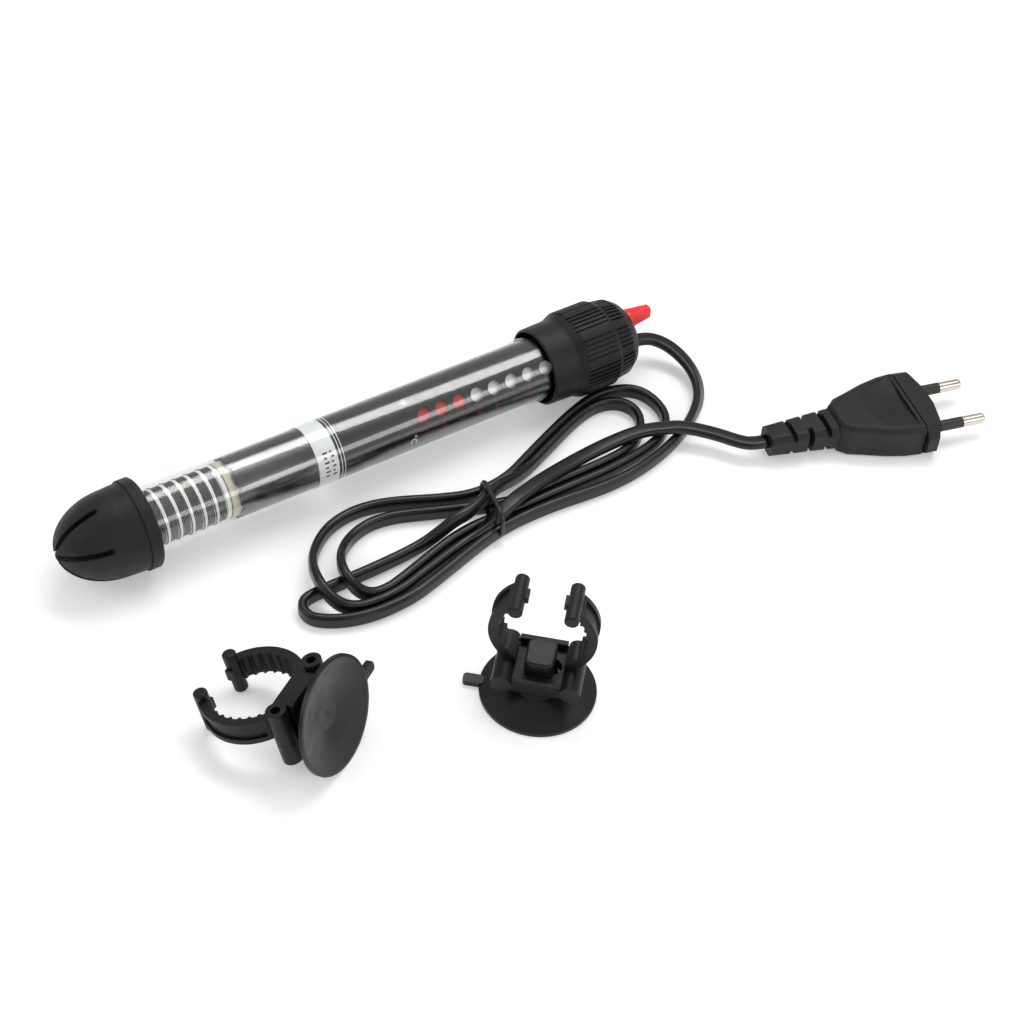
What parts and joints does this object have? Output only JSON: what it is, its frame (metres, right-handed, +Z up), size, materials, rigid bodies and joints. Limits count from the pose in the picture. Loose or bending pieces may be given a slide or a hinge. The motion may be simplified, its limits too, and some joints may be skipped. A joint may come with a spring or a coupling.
{
  "type": "submersible aquarium heater",
  "caption": "Glass-tube submersible aquarium heater with a red temperature knob, slotted end cap, tied flat cord with two-pin plug, and loose suction-cup clamp brackets.",
  "frame": {"origin": "on the surface it lies on, under the middle of the box around the heater and its two brackets, cord and plug left out", "axes": "+X along the heater from the bottom cap to the head and knob, +Z up, +Y away from the cord and brackets"},
  "size_m": [0.3182, 0.1469, 0.0432],
  "materials": {
    "black_rubber_cap": "matte, fine moulded grain",
    "black_head_plastic": "matte with a fine grain",
    "clear_glass": "clear, polished",
    "white_ceramic": "glazed ceramic",
    "cream_ceramic": "unglazed ceramic",
    "winding_wire": "fine resistance wire",
    "shield_metal": "polished, softly mirrored",
    "white_paper": "printed paper",
    "black_film": "printed film, gloss",
    "white_plastic": "smooth",
    "red_indicator": "smooth",
    "frame_board": "pressed board",
    "contact_metal": "satin",
    "magnet_grey": "sintered",
    "capacitor_blue": "dipped lacquer",
    "lamp_glass": "clear",
    "wire_sleeving": "smooth",
    "black_seal": "smooth",
    "red_knob": "smooth moulded",
    "shaft_metal": "turned",
    "cord_pvc": "satin",
    "tie_wire": "satin",
    "plug_plastic": "fine moulded grain",
    "pin_metal": "nickel plated",
    "pin_sleeve_plastic": "smooth",
    "cup_rubber": "satin",
    "bracket_plastic": "fine moulded grain"
  },
  "bodies": {
    "heater": {"glass_tube": "clear_glass", "bottom_cap": "black_rubber_cap", "ceramic_core": "white_ceramic", "heating_coil": "winding_wire", "core_end_bush": "cream_ceramic", "metal_sleeve": "shield_metal", "paper_band": "white_paper", "scale_sleeve": "black_film", "window_backing": "white_plastic", "thermostat_frame": "frame_board", "fixed_contact": "contact_metal", "control_magnet": "magnet_grey", "capacitor": "capacitor_blue", "pilot_lamp": "lamp_glass", "lead_wires": "wire_sleeving", "seal_stopper": "black_seal", "head_seal_ring": "black_seal", "head_cap": "black_head_plastic", "cord_gland": "black_seal", "shaft_o_ring": "black_seal", "cord_lead": "cord_pvc", "cord_hank": "cord_pvc", "cord_tail": "cord_pvc", "cord_tie": "tie_wire", "plug_body": "plug_plastic", "plug_strain_relief": "plug_plastic", "plug_pins": "pin_metal", "pin_sleeves": "pin_sleeve_plastic"},
    "knob": {"knob": "red_knob", "knob_shaft": "shaft_metal"},
    "indicator": {"indicator_slide": "red_indicator"},
    "contact_arm": {"bimetal_strip": "contact_metal"},
    "bracket_a_base": {"bracket_a_base": "bracket_plastic"},
    "bracket_a_arm_left": {"bracket_a_arm_left": "bracket_plastic"},
    "bracket_a_arm_right": {"bracket_a_arm_right": "bracket_plastic"},
    "bracket_a_cup": {"bracket_a_cup": "cup_rubber"},
    "bracket_b_base": {"bracket_b_base": "bracket_plastic"},
    "bracket_b_arm_left": {"bracket_b_arm_left": "bracket_plastic"},
    "bracket_b_arm_right": {"bracket_b_arm_right": "bracket_plastic"},
    "bracket_b_cup": {"bracket_b_cup": "cup_rubber"}
  },
  "joints": [
    {"name": "knob_turn", "type": "hinge", "parent": "heater", "child": "knob", "pos_m": [0.1035, 0.05775, 0.0219], "axis": [1, 0, 0], "range_deg": [-180, 720]},
    {"name": "indicator_travel", "type": "slide", "parent": "heater", "child": "indicator", "axis": [1, 0, 0], "range_m": [-0.0087, 0.0342]},
    {"name": "contact_bend", "type": "hinge", "parent": "heater", "child": "contact_arm", "pos_m": [0.041, 0.0531, 0.0144], "axis": [0, 1, 0], "range_deg": [0, 2], "stiffness_Nm_per_rad": 0.004},
    {"name": "bracket_a_lift", "type": "slide", "parent": "heater", "child": "bracket_a_base", "axis": [0, 0, 1], "range_m": [0, 0.08]},
    {"name": "bracket_a_arm_left_swing", "type": "hinge", "parent": "bracket_a_base", "child": "bracket_a_arm_left", "pos_m": [-0.0134, -0.04738, 0.012], "axis": [-0.682, -0.7314, 0], "range_deg": [-5, 45]},
    {"name": "bracket_a_arm_right_swing", "type": "hinge", "parent": "bracket_a_base", "child": "bracket_a_arm_right", "pos_m": [0.0024, -0.06212, 0.012], "axis": [0.682, 0.7314, 0], "range_deg": [-5, 45]},
    {"name": "bracket_a_cup_turn", "type": "hinge", "parent": "bracket_a_base", "child": "bracket_a_cup", "pos_m": [-0.0055, -0.05475, 0], "axis": [0, 0, 1], "range_deg": [-45, 45]},
    {"name": "bracket_b_lift", "type": "slide", "parent": "heater", "child": "bracket_b_base", "axis": [0, 0, 1], "range_m": [0, 0.08]},
    {"name": "bracket_b_arm_left_swing", "type": "hinge", "parent": "bracket_b_base", "child": "bracket_b_arm_left", "pos_m": [-0.06844, -0.02873, 0.01483], "axis": [0.1466, -0.232, -0.9616], "range_deg": [-5, 45]},
    {"name": "bracket_b_arm_right_swing", "type": "hinge", "parent": "bracket_b_base", "child": "bracket_b_arm_right", "pos_m": [-0.08669, -0.04027, 0.01483], "axis": [-0.1466, 0.232, 0.9616], "range_deg": [-5, 45]},
    {"name": "bracket_b_cup_turn", "type": "hinge", "parent": "bracket_b_base", "child": "bracket_b_cup", "pos_m": [-0.0714, -0.04425, 0.01812], "axis": [-0.5138, 0.8128, -0.2744], "range_deg": [-45, 45]}
  ],
  "couplings": [
    {"joint": "indicator_travel", "follows": "knob_turn", "m_per_rad": 0.0027056}
  ]
}
